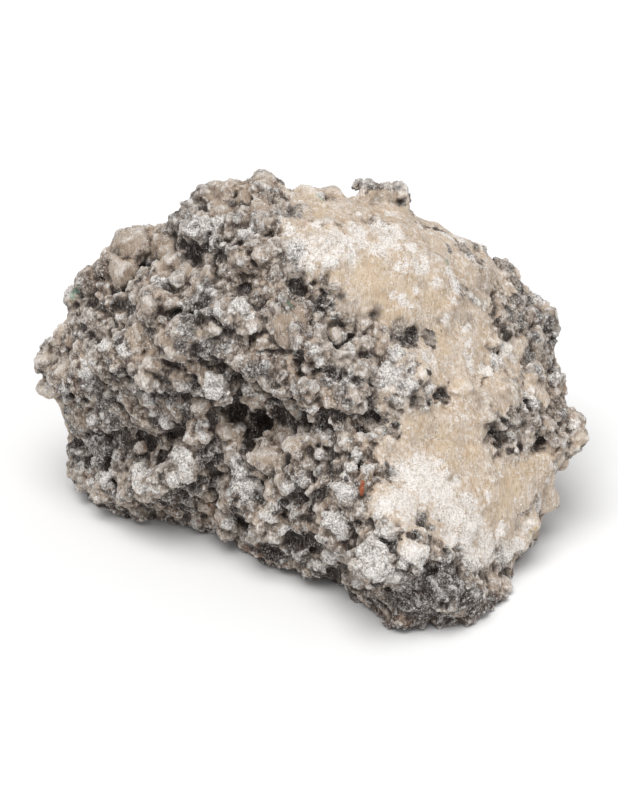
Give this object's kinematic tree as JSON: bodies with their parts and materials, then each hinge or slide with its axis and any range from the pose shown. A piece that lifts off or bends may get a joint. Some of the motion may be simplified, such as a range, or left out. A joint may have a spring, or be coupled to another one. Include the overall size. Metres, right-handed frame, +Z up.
{
  "type": "flint nodule",
  "caption": "Knobbly crusted stone nodule: a dome of fused lumps with a smooth pale crust on one side, broken off flat underneath so that it stands on a table.",
  "frame": {"origin": "On the resting face at z = 0, under the middle of the stone's bounding box.", "axes": "+X runs along the longest side, to the right as the crusted dome is seen from the front. +Y runs away from the viewer, -Y is the knobbly front. +Z is up from the resting face."},
  "size_m": [0.1224, 0.1002, 0.078],
  "materials": {
    "stone": "dull, sugary and rough, grey-brown knobs with a pale crust and white frosting"
  },
  "bodies": {
    "root": {"flint_nodule": "stone"}
  },
  "joints": []
}
